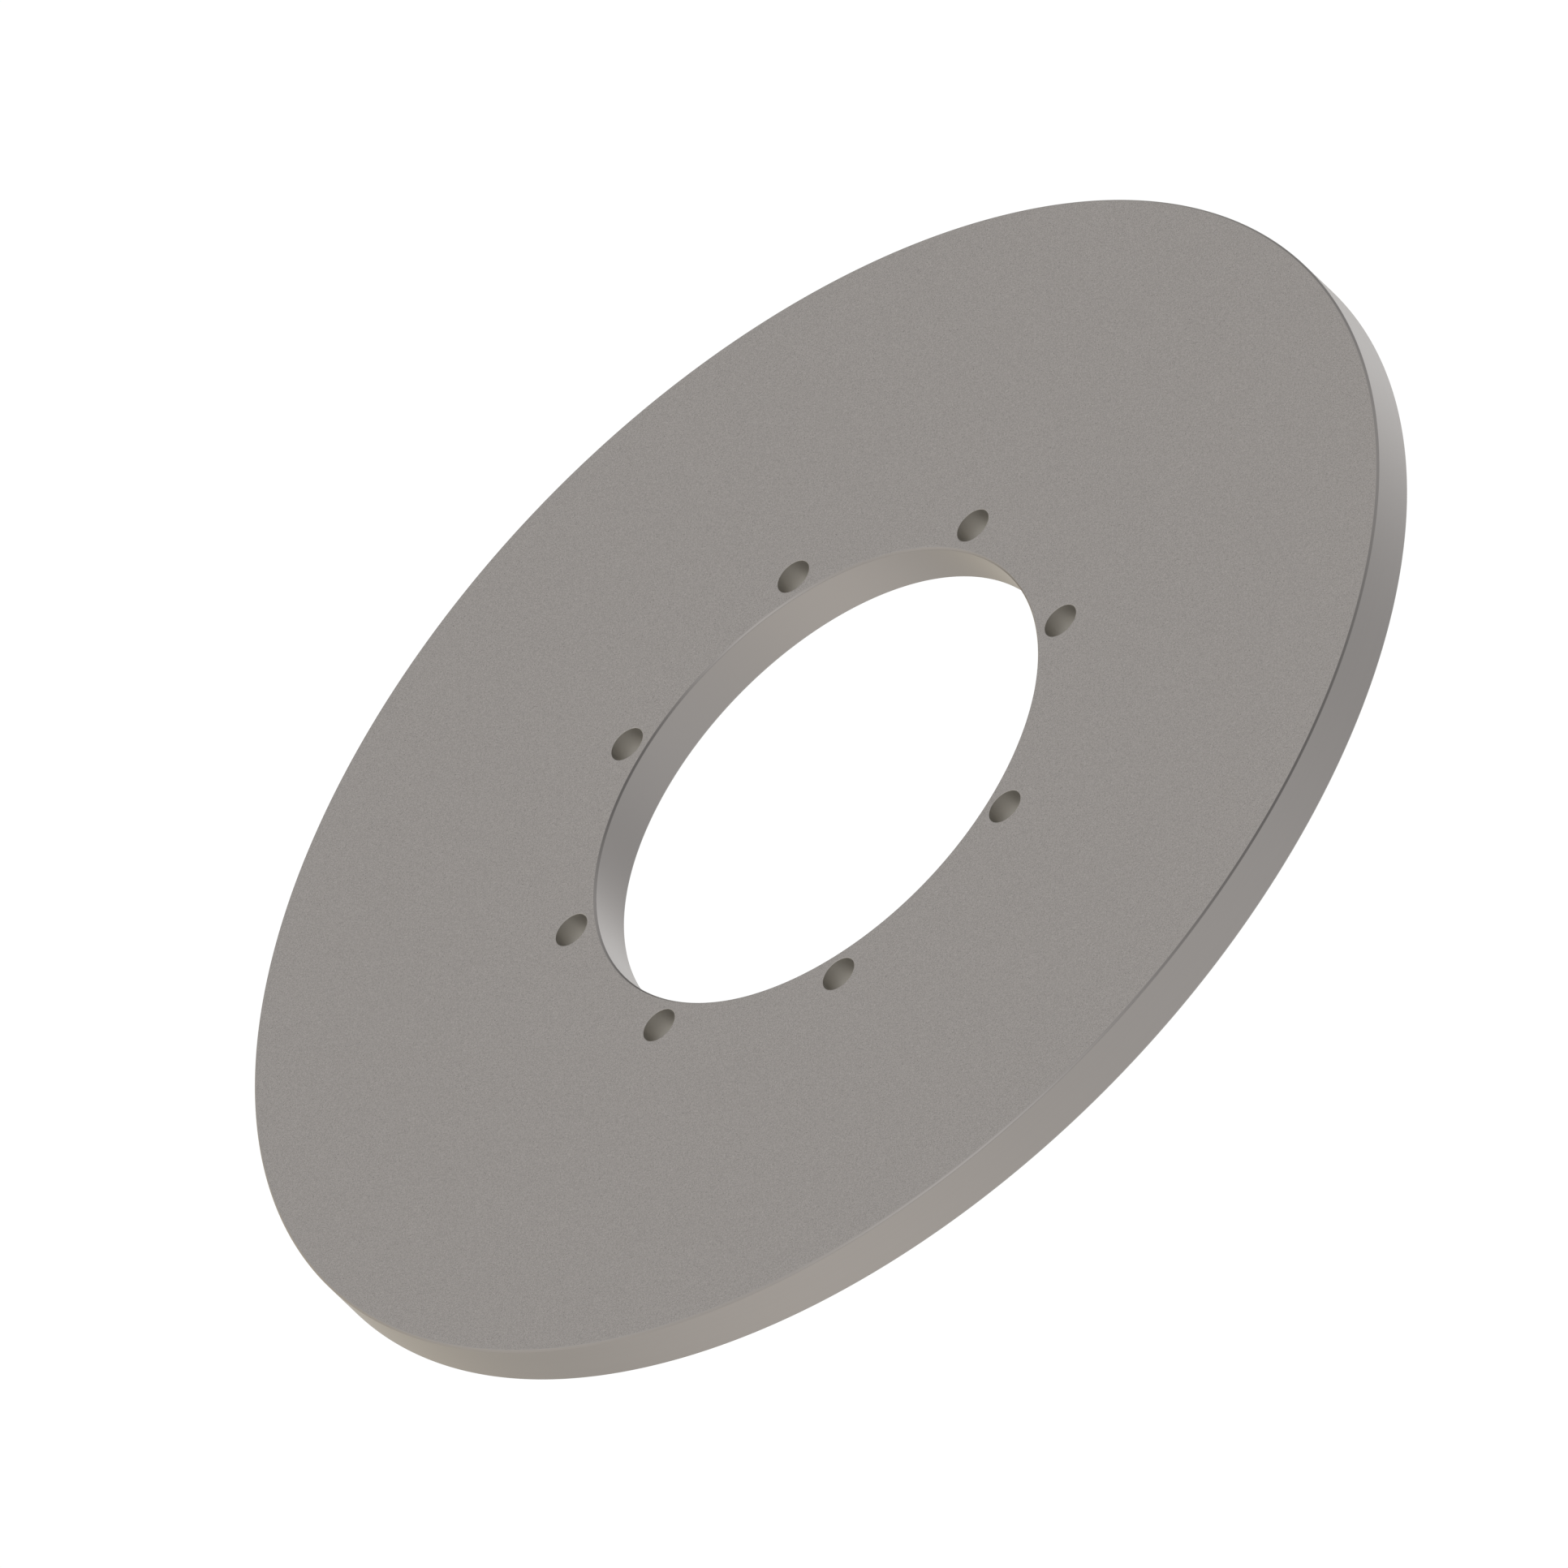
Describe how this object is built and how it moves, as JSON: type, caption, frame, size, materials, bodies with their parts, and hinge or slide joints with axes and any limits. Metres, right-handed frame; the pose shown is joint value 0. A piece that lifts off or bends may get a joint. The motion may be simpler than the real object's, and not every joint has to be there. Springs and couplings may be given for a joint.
{
  "type": "brake disc rotor",
  "caption": "Flat solid steel brake disc rotor with a wide open centre bore, a circle of plain bolt holes close around it, and lightly chamfered edges.",
  "frame": {"origin": "centre of the bore on the flat face that sits against the hub", "axes": "+Z along the axle axis, from the hub-side face to the face under the bolt heads; +X through the first bolt hole"},
  "size_m": [0.229, 0.229, 0.0081],
  "materials": {
    "satin_steel": "satin grey steel with a fine even grain on the flat faces and smoother turned edges"
  },
  "bodies": {
    "root": {"brake_disc": "satin_steel"}
  },
  "joints": []
}
